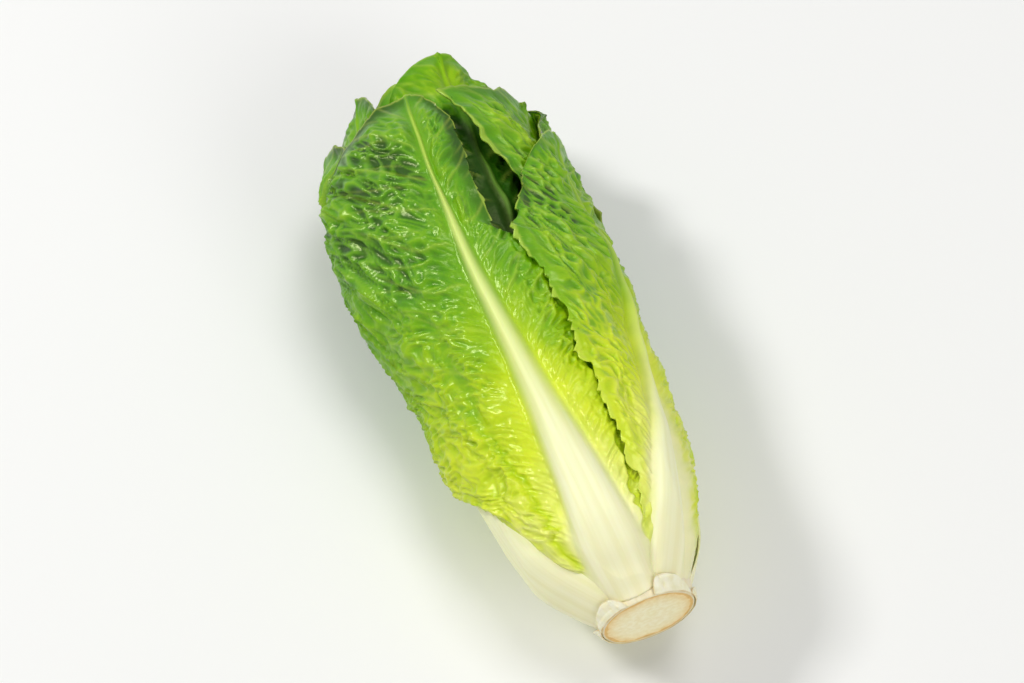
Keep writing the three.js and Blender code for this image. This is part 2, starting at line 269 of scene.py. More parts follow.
outer_leaves = [
    dict(name="bottom_leaf", around=282, base=7, tip=236, half=60, rib=6, rib_half=14, shell=0.97, flare=2),
    dict(name="right_leaf", around=62, lean=-38, base=3, tip=199, outline=right_width, half=46, rib=4.5,
         rib_half=8.5, shell=0.89, flare=-1, rows=420, columns=150, rounding=0.12, petiole=9, green=-0.1,
         tooth=2.2, lobe=2.2, frill=1.6, dimples=1.3, worm=0.45, pale=0.5),
    dict(name="front_leaf", around=105, turn=-3, base=2.2, tip=227, outline=front_width, half=68, low=0.6,
         rib=7, rib_half=12.5, shell=0.92, flare=-1, rows=480, columns=165, frill=0.6, valley=1.0,
         veins=18.0),
    dict(name="left_leaf", around=167, lean=16, base=3, tip=231, half=50, rib=5, rib_half=16, shell=0.9,
         flare=0, rows=300, columns=120, petiole=24, green=-0.04),
    dict(name="lower_right_leaf", around=322, base=8, tip=240, half=52, rib=5.5, rib_half=13, shell=0.87,
         flare=1, petiole=-26, frill=2.5, lobe=2.0),
    dict(name="lower_left_leaf", around=228, base=9, tip=240, half=54, rib=5, rib_half=12, shell=0.85,
         flare=5),
    dict(name="upper_right_leaf", around=20, base=10, tip=220, outline=upper_right_width, half=42, rib=2,
         rib_half=9, shell=0.85, flare=3, rows=300, columns=120, rounding=0.02, slant=0.03, green=-0.13,
         tooth=2, lobe=2.6, frill=2.5, worm=0.4, shown=0.6),
    dict(name="upper_left_leaf", around=150, base=11, tip=242, half=50, low=0.6, rib=4.5, rib_half=11,
         shell=0.79, flare=2, rows=300, columns=120, frill=3, lobe=2.2, shown=0.6),
]
outer_leaves = [{**OUTER, **leaf} for leaf in outer_leaves]

INNER_LEAVES = 6
INNER_AND_HEART = 13
FINER_GRIDS = 4  # of the inner leaves, the ones whose tips show
inner_leaves = []
for i in range(INNER_AND_HEART):
    inward = (i + 1) / INNER_AND_HEART
    inner_leaves.append({
        **OUTER,
        "name": f"inner_leaf_{i + 1}" if i < INNER_LEAVES else f"heart_leaf_{i + 1 - INNER_LEAVES}",
        "around": 150 + GOLDEN_ANGLE * (i + 1),
        "base": 11 + 30 * inward,
        "tip": 252 - 12 * inward - 96 * inward ** 3,
        "half": 48 - 24 * inward,
        "rib": 4 - 2.5 * inward,
        "rib_half": 10 - 6 * inward,
        "shell": 0.77 - 0.6 * inward,
        "flare": 4 * (1 - inward),
        "rows": 150 if i < FINER_GRIDS else 90,
        "columns": 60 if i < FINER_GRIDS else 36,
        "green": 0.1 - 0.45 * inward,
        "frill": 2.5,
        "shown": 0.7,
    })

# The leaf that closes the hollow beside the front leaf's tip lies deeper, its colour is darkened as painted
# shade for the hollow, and its own tip is pale.
hollow_leaf = inner_leaves[1]
hollow_leaf["shell"] -= 0.07
# painted shade: the leaf seen in the hollow is made darker green
hollow_leaf["green"] += 0.3
hollow_leaf["tip_light"] = 0.5
hollow_leaf["rows"], hollow_leaf["columns"] = 270, 108

# The collar of trimmed leaf bases: where each stands in degrees, how far it leans, how far up it reaches,
# and its half width.
COLLAR = [(57, 5, 6.6, 8.8), (150, -3, 5.2, 9.6), (214, 0, 5.6, 10.8), (284, 0, 6, 11), (352, 0, 6, 11)]
trimmed_bases = [
    dict(name=f"trimmed_leaf_base_{i + 1}", around=around, lean=lean, base=0.3, tip=tip, half=half,
         outline=trimmed_width, rows=30, columns=60)
    for i, (around, lean, tip, half) in enumerate(COLLAR)
]

FINE_STEP = 3  # the inner face of a leaf has one row and column to so many of the outer face


def rib_angle(leaf, u):
    """Where the rib stands round the head, a share u along the leaf."""
    turned = step(0.6, 0.8, u) - 0.8 * step(0.88, 1, u)
    return np.radians(leaf["around"] + leaf["lean"] * smooth(1.6 * u) + leaf["turn"] * turned)


def widths(leaf, u):
    """Half width on the clockwise side and on the other side of the rib."""
    both = leaf["outline"](u) * leaf["half"]
    low = both * leaf["low"]
    if leaf["name"] == "front_leaf":
        low = np.maximum(low, (12 + 90 * u) * (1 - step(0.28, 0.42, u)))
        low = low + (13.5 + 3 * step(0.8, 0.95, u) - low) * step(0.61, 0.72, u)
    if leaf["name"] == "right_leaf":
        low = leaf["half"] * right_low_width(u)
    return low, both


# How far from the rib the soft blade rises from the pleated strip: along the front leaf, and on the others.
VALLEY_ON_OTHERS = 24
front_valley = profile([(0, 13), (30, 15), (50, 19.5), (67, 22), (90, 25), (150, 25), (200, 22), (255, 18)])


def margin_teeth(leaf, x, y, v, seed):
    """How far the side margins stand out, in teeth that lean towards the tip and in wider lobes."""
    side = np.sign(v) * 5.3
    turn = y / 5.6 + 0.6 * wander(y / 9 + seed, side, 0)
    tooth = leaf["tooth"] * (0.6 - (turn % 1.0)) * (0.6 + 0.6 * wander(y / 6, side + seed, 2))
    lobe = leaf["lobe"] * wander(y / 6.5 + seed, side, 1)
    return tooth + lobe


def shares_of(leaf):
    """The leaf's grid: shares of its length, and of its half width, below nothing on the clockwise side."""
    length_shares = np.linspace(0, 1, leaf["rows"] + 1)
    width_shares = np.linspace(-1, 1, leaf["columns"] + 1)
    return np.meshgrid(length_shares, width_shares, indexing="ij")


def flat_leaf(leaf):
    """The leaf laid out flat.

    u and v: the shares of its length and half width. x and y: millimetres from the rib and from the foot.
    a, out and to_margin: how far from the rib's middle, from its flank and from the margin. rib_half: the
    rib's half width. dome: its rounded section, 1 in the middle. seed: what chance this leaf takes.
    """
    u, v = shares_of(leaf)
    length = leaf["tip"] - leaf["base"]
    seed = leaf["around"] * 7.31
    low, high = widths(leaf, u)
    wide = np.where(v < 0, low, high)
    y = length * (u - (leaf["rounding"] * v * v - leaf["slant"] * v) * u ** 3)
    x = v * wide
    if leaf["name"] == "front_leaf":
        y = y + 4 * np.minimum((x / 11) ** 2, 1.5) * (1 - step(0, 0.1, u))
    x = x + np.sign(v) * margin_teeth(leaf, x, y, v, seed) * np.abs(v) ** 10 * step(0.06, 0.2, u)
    top_teeth = margin_teeth(leaf, y, x, v * 0 + 1, seed)
    y = y + 0.7 * top_teeth * u ** 40
    a = np.abs(x)
    to_margin = np.minimum(np.maximum(wide - a, 0), length * (1 - u) * 0.8)
    rib_half = np.maximum(leaf["rib_half"] * rib_width(u), 1.1)
    across = np.clip(a / rib_half, 0, 1)
    dome = (1 - across ** (2 + 2 * (1 - step(0.1, 0.4, u)))) ** 2
    out = np.maximum(a - rib_half * 0.75, 0)
    return SimpleNamespace(u=u, v=v, x=x, y=y, a=a, out=out, to_margin=to_margin, rib_half=rib_half,
                           dome=dome, seed=seed)


def valley_beside_rib(leaf, at, side, blade, upper):
    """Pointed cushions rise beyond the valley line, and on the clockwise side the blade drops there. The
    shade below that edge is a painted shadow, darkened into the colour.
    """
    u, x, y, seed = at.u, at.x, at.y, at.seed
    line_at = front_valley(y) if leaf["name"] == "front_leaf" else VALLEY_ON_OTHERS + 0 * y
    scallop = 2.6 * np.abs(wander(y / 5.2 + seed, side, 3)) + 1.2 * wander(y / 2.6, side + seed, 2)
    edge = at.a - line_at - scallop * (1 - 0.5 * upper) + np.where(x < 0, 2.5, 0)
    rise = step(-0.3, 0.9, edge)
    low_part = (1 - 0.85 * step(0.3, 0.5, u)) * step(0.03, 0.08, u) * leaf["valley"]
    raised = np.where(x < 0, 2.0 * (1 - rise) * blade, 3.0 * rise)
    dropped_shade = rise * np.exp(-(edge / 3.0) ** 2)
    cushion_shade = (1 - rise) * np.exp(-((edge + 0.3) / 1.7) ** 2)
    shade = np.where(x < 0, dropped_shade, cushion_shade)
    return line_at, rise, low_part, raised, shade


def crinkle_net(at, s, side):
    """The crinkled net of small veins: its worms and meshes, the hollows in the meshes, and the cushions."""
    a, seed = at.a, at.seed
    warp_a = a + 3.2 * wander(a / 7 + seed, s / 7, 5)
    warp_s = s + 3.2 * wander(a / 7, s / 7 + seed, 6)
    worm = step(0, 1, 1 - np.abs(wander(warp_a / 2.7 + seed, warp_s / 2.3, 7)) * 1.7)
    cells = blisters(warp_a / 5.2 + 40, warp_s / 4.2 + seed, 12, 0.95)
    mesh = 1 - step(0.02, 0.3, cells)
    hollow = step(0.15, 0.7, cells)
    fine = wander(warp_a / 3.8, warp_s / 3.2 + seed, 8)
    pillow = wander(warp_a / 8 + seed, warp_s / 6 + side, 9) + 0.5 * fine
    return worm, mesh, hollow, pillow


def side_veins(leaf, at, s, side, blade):
    """1 on the side veins, which run out from the rib and fork towards the margin."""
    out = at.out
    spacing = leaf["veins"]
    fork_spacing = 0.62 * spacing
    drift = 0.35 * wander(out / 14 + side, s / 24 + at.seed, 10)
    vein_turn = s / spacing + drift
    vein_far = np.abs(vein_turn - np.round(vein_turn)) * spacing
    fork_turn = (s + 0.45 * out) / fork_spacing + 1.6 * drift
    fork_far = np.abs(fork_turn - np.round(fork_turn)) * fork_spacing
    vein = np.exp(-(vein_far / 0.8) ** 2) * (1 - step(20, 42, out))
    fork = 0.7 * np.exp(-(fork_far / 0.6) ** 2) * step(7, 14, out) * (1 - step(24, 44, out))
    return np.maximum(vein, fork) * blade * step(0.25, 0.6, at.u)


def relief_of(leaf, at):
    """Height of the blade's surface in millimetres, and where its hollows, net, veins and bare foot are, with
    the pits and the shade below the valley step as painted shade and the bulges as painted light and shade
    for the colour.
    """
    u, x, y, a, out, seed = at.u, at.x, at.y, at.a, at.out, at.seed
    side = np.where(x < 0, 4.5, 0.0)
    # s runs along the leaf, counted where the side vein through a place leaves the rib
    near_rib = 8 * (1 - np.exp(-out / 6)) + 0.3 * out
    climb = near_rib + (0.8 * out - near_rib) * step(0.5, 0.8, u) + 0.006 * out ** 2
    s = y - climb + side
    blade = step(0, 4, out)
    upper = step(0.45, 0.75, u)
    lower = 1 - step(0.1, 0.4, u)
    inside = step(1.5, 4 + 6 * upper, at.to_margin)
    line_at, rise, low_part, raised, shade = valley_beside_rib(leaf, at, side, blade, upper)
    # pleats that run out from the rib, merge and fork
    line = wander(s / 2.0 + seed, out / 9 + side, 4)
    pleats = (1 - np.abs(line)) ** 2 * blade * (1 - step(9, 20, out)) * (1 - 0.8 * upper)
    # folds between the side veins
    folds = wander(s / 6.5 + 0.5 * wander(a / 8, s / 8 + seed, 5), a / 22 + seed + side, 6)
    worm, mesh, hollow, pillow = crinkle_net(at, s, side)
    zone = (0.2 + 0.8 * np.maximum(step(4, 13, out), 0.75 * upper)) * inside * blade
    zone = zone * (1 - 0.5 * (1 - rise) * low_part)
    vein = side_veins(leaf, at, s, side, blade)
    height = 0.85 * pleats + (0.4 + 0.7 * upper) * (folds + 0.5) * blade * inside
    crinkle = leaf["worm"] * worm * (1 - 0.45 * upper) * (1 - 0.3 * lower) + (0.25 + 0.15 * upper) * mesh
    height = height + zone * (crinkle + (0.7 + 0.8 * upper) * pillow - 0.4 + 0.8 * upper)
    height = height - zone * hollow * (0.2 + 0.3 * upper + 0.5 * leaf["dimples"]) + 0.5 * vein * inside
    height = height + raised * low_part * inside
    # a row of deep pits along the valley, in the upper half, which are also darkened into the colour as
    # painted shade
    pits_and_shade = np.exp(-((a - line_at) / 2.8) ** 2) * np.clip(0.2 + wander(s / 4.5, side + seed, 13), 0, 1)
    pits_and_shade = pits_and_shade * leaf["valley"] * step(0.2, 0.35, u) * (1 - step(0.72, 0.82, u))
    height = height - 1.8 * pits_and_shade
    # the smooth foot is wide on one side
    on_wide_side = x * leaf["petiole"] < 0
    wide_foot = np.where(on_wide_side, abs(leaf["petiole"]), 0) * (1 - step(0.25, 0.55, u))
    bare_rib = leaf["rib_half"] * 0.7 * (1 - step(0.1, 0.3, u))
    off_foot = step(0, 5 - 3.5 * step(0.3, 0.6, u), a - np.maximum(wide_foot, bare_rib))
    seen = off_foot * step(leaf["shown"] - 0.15, leaf["shown"], u)
    net = np.maximum(worm * (1 - upper), mesh) * zone
    # painted light and shade: the bulges and folds are painted lighter than the dips
    puff_shading = (pillow * zone + 1.5 * folds * upper * blade * inside) * seen
    # the pits and the shade below the valley step go to the colour as painted shade
    return SimpleNamespace(height=height * seen, hollow=hollow * zone, net=net, vein=vein,
                           pits_and_shade=np.maximum(pits_and_shade, 0.9 * shade * low_part), puff_shading=puff_shading, off_foot=off_foot)


def tones_of(leaf, at, relief):
    """How green each place is, with painted shade in the hollows, pits and below the valley step and painted
    light and shade over the bulges; how much lighter its vein or margin, and how far it is white rib.
    """
    u, v, x, y, a, to_margin = at.u, at.v, at.x, at.y, at.a, at.to_margin
    on_foot = 1 - relief.off_foot
    green = 0.1 + 0.75 * step(10, 180, y) + 0.14 * step(8, 1, to_margin) * step(0.4, 0.6, u)
    green = green - (0.05 + 0.05 * (x < 0)) * (1 - step(1, 10, at.out)) + leaf["green"]
    green = green - leaf["tip_light"] * step(0.8, 0.93, u)
    green = green + 0.06 * wander(a / 14, y / 14 + at.seed, 3)
    # painted shade: the hollows in the meshes are darkened
    green = green + (0.05 + 0.1 * u) * (0.7 + leaf["dimples"]) * relief.hollow
    # painted shade darkens the pits and the foot of the valley step; painted light and shade make the bulges
    # lighter and the dips darker
    green = green + 0.18 * relief.pits_and_shade - 0.06 * relief.net * (0.5 + u) - 0.08 * u * relief.puff_shading
    green = green * (1 - 0.65 * on_foot * (1 - 0.8 * step(0.3, 0.6, u)))
    if leaf["name"] == "right_leaf":
        low_margin = step(9, 2, to_margin) * (1 - step(0.3, 0.5, u)) * step(0.05, 0.15, u)
        green = green + (0.1 + 0.15 * (v < 0)) * low_margin
    light = np.clip(0.14 * relief.net * step(0.6, 0.8, u) + 0.4 * relief.vein, 0, 1)
    light = np.maximum(light, 0.8 * (1 - step(0.2, 0.9, to_margin)))
    core = np.exp(-(a / (0.4 * at.rib_half)) ** 2)
    middle = step(0.2, 0.35, u) * (1 - step(0.6, 0.75, u))
    white = np.clip((at.dome - 0.05) * 1.6, 0, 1) * (1 - 0.45 * middle) + 0.45 * middle * core
    white = white * (1 - 0.25 * step(0.7, 0.85, u) - 0.6 * step(0.93, 0.99, u))
    white = white * (1 - leaf["pale"] * step(0.2, 0.5, u))
    white = white * (1 - 0.9 * step(0.45, 0.65, u) * (leaf["shown"] > 0))
    white = np.maximum(white, 0.65 * on_foot * (1 - step(0.1, 0.4, u)))
    white = np.maximum(white, 1 - step(0.0, 0.08, u))
    return dict(green=green, light=light, white=white, rise=u)


def lay(leaf, bed):
    """Lays one leaf on the bed. Gives its stations: angle, along, outer and inner radius, and its tones."""
    at = flat_leaf(leaf)
    u, y, to_margin = at.u, at.y, at.to_margin
    along = leaf["base"] + y
    radius = np.maximum(head_radius(along) * leaf["shell"], CUT_RADIUS)
    angle = rib_angle(leaf, u) + np.clip(at.x / radius, -MOST_WRAP, MOST_WRAP)
    rib = leaf["rib"] * rib_thickness(u) * at.dome
    relief = relief_of(leaf, at)

    side = np.sign(at.v) * 3.1
    wave = wander(y / 9 + at.seed, side, 11) + 0.5 * wander(y / 3.6 + at.seed, side, 2)
    frill = leaf["frill"] * (0.5 + wave) * (1 - step(0, 12, to_margin)) ** 1.5 * step(0.15, 0.4, u)
    frill = np.maximum(frill, -0.4) - 0.8 * (1 - step(0, 4, to_margin)) * (1 - step(0.5, 0.8, u))

    # the leaf keeps to the outer of two surfaces: what lies under it, and its own shell of the head
    air = AIR_AT_BASE + (AIR - AIR_AT_BASE) * smooth(10 * u)
    shell = leaf["shell"] * head_radius(along) - 2.6 + leaf["flare"] * smooth((u - 0.72) / 0.28)
    under = read(bed, angle, along) + air
    inner = (under + shell) / 2 + np.hypot((under - shell) / 2, 0.7)
    lift = np.maximum(relief.height - 0.3, -0.45) * smooth(u * 12) * (1 - at.dome) + frill
    outer = inner + BLADE * smooth(0.4 + 8 * u) + rib + lift
    inner = inner + lift
    # the feet grow out of the stem, so there they keep to the head's outline
    foot = head_radius(along) - 1 + 30 * (leaf["shell"] - 0.9) + 0.7 * rib + 0.8 * lift
    excess = np.maximum(outer - foot, 0) * (1 - step(20, 70, along))
    outer = outer - excess
    inner = inner - excess
    if leaf["name"] == "front_leaf":
        outer = outer + np.maximum(foot - outer, 0) * (1 - step(14, 48, along)) * smooth(12 * u)
    # the end of the foot is one with the stem
    end = 1 - smooth(30 * u)
    inner = inner - 0.9 * end
    outer = outer - 0.4 * end
    tones = tones_of(leaf, at, relief)
    return dict(angle=angle, along=along, outer=outer, inner=inner, x=at.x, y=y, **tones)


def lay_trimmed(leaf, bed):
    """Lays the remnant of a leaf that was trimmed off: a low smooth scale round the cut face."""
    u, v = shares_of(leaf)
    seed = leaf["around"] * 3.7
    wide = leaf["outline"](u) * leaf["half"]
    length = leaf["tip"] - leaf["base"]
    x = v * wide + leaf["lean"] * u ** 2
    y = length * (u - TIP_ROUNDING * v * v * u ** 3) + 0.5 * wander(x / 2.6 + seed, u * 0, 1) * u ** 2
    along = leaf["base"] + y
    angle = np.radians(leaf["around"]) + x / CUT_RADIUS
    edge = np.minimum(1 - np.abs(v), 1 - u)
    thick = 0.3 + 0.6 * step(0, 0.3, edge) * step(0, 0.3, u)
    inner = read(bed, angle, along) + 0.1
    outer = inner + thick + 0.12 * wander(x / 3 + seed, y / 3, 5)
    dry = 0.6 + 0.5 * wander(x / 3, y / 2 + seed, 6)
    tan = np.maximum(1 - step(0.0, 0.08, edge), 1 - step(0, 0.08, u)) * dry
    return dict(angle=angle, along=along, outer=outer, inner=inner, x=x, y=y,
                green=0 * u, light=np.clip(tan, 0, 1), white=1 + 0 * u, rise=u)


# ---- Laying the head ----
reach = empty_head()
laid = []
for leaf in (outer_leaves + inner_leaves)[::-1]:
    sheet = lay(leaf, bed_on(reach))
    reach = record(reach, sheet["angle"], sheet["along"], sheet["outer"])
    laid.append((leaf, sheet))
collar = [(leaf, lay_trimmed(leaf, skin_of(reach))) for leaf in trimmed_bases]

lowest = min(place(s["angle"], s["along"], s["outer"])[..., 2].min() for _, s in laid)

# ---- Pieces ----
TONES = ("green", "light", "white", "rise")
FLAT_SIZE = 300.0  # millimetres of leaf across a whole unit of its own map
STEM_SIDES = 96
STEM_STATIONS = [0.25, 0.8, 2, 5, 9, 14, 20, 26, 32, 38, 44, 50, STEM_LENGTH]
STEM_BEVEL = 0.7  # the edge of the cut face is this much smaller than the stem
FACE_RINGS, FACE_RING = 12, 1.3  # rings on the cut face, and how far each is inside the last


def settle(points):
    """The weight flattens the underside, which ends in a small flat patch."""
    z = points[..., 2]
    above = np.clip((z - lowest) / SAG_REACH, 0, 1)
    z = np.maximum(z + SAG * (1 - above) ** 2, lowest + SAG + RESTING_CUT)
    return np.concatenate([points[..., :2], z[..., None]], axis=-1)


def cad_shift():
    """How far the frame's head stands from this script's: across and along by the stem, up by the table.

    The stem is drawn here with the stations, sides and smaller rim that it has in the part's own source.
    """
    side = 0.8 + (STEM_LENGTH - 0.8) * np.arange(13) / 12
    radii = np.concatenate([[CUT_RADIUS - 0.8], stem_radius(side), [0.0]])
    angles = np.arange(36) / 36 * 2 * math.pi + math.pi / 2
    along, angle = np.meshgrid(np.concatenate([[0.0], side, [STEM_LENGTH + 1]]), angles, indexing="ij")
    points = place(angle, along, radii[:, None])
    own_low = points.reshape(-1, 3).min(axis=0)
    low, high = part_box("stem")
    up = -(lowest + SAG + RESTING_CUT)
    return np.array([low.x / MM - own_low[0], low.y / MM - own_low[1], up])


shift = cad_shift()


def seated(angle, along, radius):
    """The place on the table, where the frame's head lies, once the head has settled."""
    return settle(place(angle, along, radius)) + shift


def all_deselected():
    bpy.ops.object.select_all(action="DESELECT")


def add_grid(name, points):
    """A flat grid, moved to its places: points holds one row of places after another."""
    rows, columns = points.shape[0] - 1, points.shape[1] - 1
    all_deselected()
    bpy.ops.mesh.primitive_grid_add(x_subdivisions=columns, y_subdivisions=rows, size=1)
    grid = bpy.context.object
    grid.name = name
    grid.data.vertices.foreach_set("co", (points * MM).astype(np.float32).ravel())
    grid.data.update()
    return grid


def add_attribute(piece, key, values):
    store = piece.data.attributes.new(key, "FLOAT", "POINT")
    store.data.foreach_set("value", np.asarray(values, np.float32).ravel())


def add_flat_map(piece, flat):
    """Gives the piece its own map in place of the primitive's, from one place on it for each vertex."""
    mesh = piece.data
    corner = np.zeros(len(mesh.loops), int)
    mesh.loops.foreach_get("vertex_index", corner)
    while mesh.uv_layers:
        mesh.uv_layers.remove(mesh.uv_layers[0])
    mesh.uv_layers.new(name="flat").data.foreach_set("uv", flat[corner].astype(np.float32).ravel())


def leaf_piece(name, sheet, stride):
    """One closed leaf: a fine outer grid and a coarser inner one, bridged along the margin."""
    outside = seated(sheet["angle"], sheet["along"], sheet["outer"])
    inside = seated(sheet["angle"], sheet["along"], sheet["inner"])
    inner = add_grid(name + "_inner_face", inside[::stride, ::stride])
    bpy.ops.object.mode_set(mode="EDIT")
    bpy.ops.mesh.select_all(action="SELECT")
    bpy.ops.mesh.flip_normals()
    bpy.ops.object.mode_set(mode="OBJECT")
    piece = add_grid(name + "_visual", outside)
    inner.select_set(True)
    bpy.context.view_layer.objects.active = piece
    bpy.ops.object.join()
    bpy.ops.object.mode_set(mode="EDIT")
    bpy.ops.mesh.select_mode(type="EDGE")
    bpy.ops.mesh.select_all(action="DESELECT")
    bpy.ops.mesh.select_non_manifold(
        extend=False, use_wire=False, use_boundary=True, use_multi_face=False,
        use_non_contiguous=False, use_verts=False,
    )
    bpy.ops.mesh.bridge_edge_loops()
    bpy.ops.mesh.select_mode(type="VERT")
    bpy.ops.object.mode_set(mode="OBJECT")
    bpy.ops.object.shade_smooth()
    for key in TONES:
        tone = sheet[key]
        add_attribute(piece, key, np.concatenate([tone.ravel(), tone[::stride, ::stride].ravel()]))
    flat = np.stack([sheet["x"], sheet["y"]], -1)
    flat = np.concatenate([flat.reshape(-1, 2), flat[::stride, ::stride].reshape(-1, 2)])
    add_flat_map(piece, flat / FLAT_SIZE + 0.5)
    return piece


def stem_piece():
    """The stem: a disc for the cut face, drawn in ring by ring, and a side extruded to the growing point."""
    all_deselected()
    radius = CUT_RADIUS - STEM_BEVEL
    bpy.ops.mesh.primitive_circle_add(vertices=STEM_SIDES, radius=radius * MM, fill_type="NGON")
    piece = bpy.context.object
    piece.name = "stem_visual"
    bpy.ops.object.mode_set(mode="EDIT")
    bpy.ops.mesh.select_all(action="SELECT")
    along = 0.0
    for station in STEM_STATIONS:
        wider = float(stem_radius(station)) - (0.2 if station < 0.5 else 0.0)
        bpy.ops.mesh.extrude_region_move(TRANSFORM_OT_translate={"value": (0, 0, (station - along) * MM)})
        share = wider / radius
        bpy.ops.transform.resize(value=(share, share, 1), center_override=(0, 0, station * MM))
        radius, along = wider, station
    bpy.ops.object.mode_set(mode="OBJECT")
    for face in piece.data.polygons:
        face.select = abs(face.center.z) < 1e-6 and abs(face.normal.z) > 0.9
    bpy.ops.object.mode_set(mode="EDIT")
    bpy.ops.mesh.select_mode(type="FACE")
    for ring in range(FACE_RINGS):
        bpy.ops.mesh.inset(thickness=FACE_RING * MM)
    bpy.ops.mesh.poke()
    bpy.ops.mesh.select_all(action="SELECT")
    bpy.ops.mesh.normals_make_consistent(inside=False)
    bpy.ops.mesh.select_mode(type="VERT")
    bpy.ops.object.mode_set(mode="OBJECT")
    bpy.ops.object.shade_smooth_by_angle(angle=math.radians(50))
    # the upright stem is laid into the head, and its cut face is a little uneven
    mesh = piece.data
    co = np.zeros(len(mesh.vertices) * 3, np.float32)
    mesh.vertices.foreach_get("co", co)
    co = co.reshape(-1, 3).astype(float) / MM
    radius = np.hypot(co[:, 0], co[:, 1])
    angle = np.arctan2(co[:, 1], co[:, 0])
    on_face = co[:, 2] < 0.1
    worn = 0.35 * wander(co[:, 0] / 6 + 40, co[:, 1] / 6 + 40, 3) + 0.5 * step(12, 18, radius)
    along = co[:, 2] + np.where(on_face, np.maximum(worn, 0.0), 0.0)
    points = seated(angle, along, radius)
    mesh.vertices.foreach_set("co", (points * MM).astype(np.float32).ravel())
    mesh.update()
    add_attribute(piece, "from_middle", radius / CUT_RADIUS)
    add_attribute(piece, "cut", on_face.astype(float))
    add_flat_map(piece, co[:, :2] / (3 * CUT_RADIUS) + 0.5)
    return piece


# ---- Materials ----
def node(tree, kind, **settings):
    made = tree.nodes.new(kind)
    for key, value in settings.items():
        setattr(made, key, value)
    return made


def srgb(code):
    """A colour written as in a paint list, as the shader wants it."""
    channels = [int(code[i:i + 2], 16) / 255 for i in (0, 2, 4)]
    return tuple([c / 12.92 if c <= 0.04045 else ((c + 0.055) / 1.055) ** 2.4 for c in channels] + [1.0])


def new_material(name):
    material = bpy.data.materials.new(name)
    material.use_nodes = True
    return material, material.node_tree, material.node_tree.nodes["Principled BSDF"]


def ramp_of(tree, stops_wanted, factor):
    """A colour ramp through (position, colour) stops."""
    ramp = node(tree, "ShaderNodeValToRGB")
    stops = ramp.color_ramp.elements
    while len(stops) < len(stops_wanted):
        stops.new(0.5)
    for stop, (at, code) in zip(stops, stops_wanted):
        stop.position = at
        stop.color = srgb(code)
    tree.links.new(factor, ramp.inputs["Fac"])
    return ramp.outputs["Color"]


def mixed(tree, factor, first, second, blend="MIX"):
    """A colour mix. Each input is a socket, or a fixed value."""
    mix = node(tree, "ShaderNodeMix", data_type="RGBA", blend_type=blend)
    for key, value in (("Factor", factor), ("A", first), ("B", second)):
        if isinstance(value, (float, tuple)):
            mix.inputs[key].default_value = value
        else:
            tree.links.new(value, mix.inputs[key])
    return mix.outputs["Result"]


def maths(tree, operation, *values):
    """A Math node. Each input is a socket, or a fixed number."""
    made = node(tree, "ShaderNodeMath", operation=operation)
    for socket, value in zip(made.inputs, values):
        if isinstance(value, float):
            socket.default_value = value
        else:
            tree.links.new(value, socket)
    return made.outputs["Value"]


def bumped(tree, shader, height, strength, distance):
    """Fine unevenness of the skin, too small for the mesh. distance: metres."""
    bump = node(tree, "ShaderNodeBump")
    bump.inputs["Strength"].default_value = strength
    bump.inputs["Distance"].default_value = distance
    tree.links.new(height, bump.inputs["Height"])
    tree.links.new(bump.outputs["Normal"], shader.inputs["Normal"])


def lit_through(shader, weight, radius, scale):
    """Light that goes into the juicy flesh and comes out beside."""
    shader.inputs["Subsurface Weight"].default_value = weight
    shader.inputs["Subsurface Radius"].default_value = radius
    shader.inputs["Subsurface Scale"].default_value = scale


def leaf_noise(tree, across, along, detail):
    """Noise on the leaf's own map, one swing in so many millimetres across and along."""
    uv = node(tree, "ShaderNodeUVMap", uv_map="flat")
    scale = node(tree, "ShaderNodeMapping")
    scale.inputs["Scale"].default_value = (FLAT_SIZE / across, FLAT_SIZE / along, 1)
    tree.links.new(uv.outputs["UV"], scale.inputs["Vector"])
    noise = node(tree, "ShaderNodeTexNoise")
    noise.inputs["Scale"].default_value = 1.0
    noise.inputs["Detail"].default_value = detail
    tree.links.new(scale.outputs["Vector"], noise.inputs["Vector"])
    return noise.outputs["Fac"]


# Along the tones: blade and heart from the paler to the darker, the rib from the foot to the tip.
BLADE_COLOURS = [
    (0.0, "f2f0b8"), (0.12, "e4ea6c"), (0.26, "d4e42e"), (0.4, "b9d414"), (0.54, "92be0c"),
    (0.68, "74ac0a"), (0.84, "549606"), (1.0, "1e4e02"),
]
HEART_COLOURS = [
    (0.0, "f5f1c6"), (0.2, "f0ee9c"), (0.45, "e4e860"), (0.7, "c4d83c"), (1.0, "94ba20"),
]
RIB_COLOURS = [
    (0.0, "f8f3cc"), (0.15, "f7f7cc"), (0.3, "f3f5c6"), (0.45, "e8f0a6"), (0.6, "daea8c"), (0.76, "cce074"),
    (0.95, "b4d04c"),
]
RIB_ROUGHNESS = 0.44


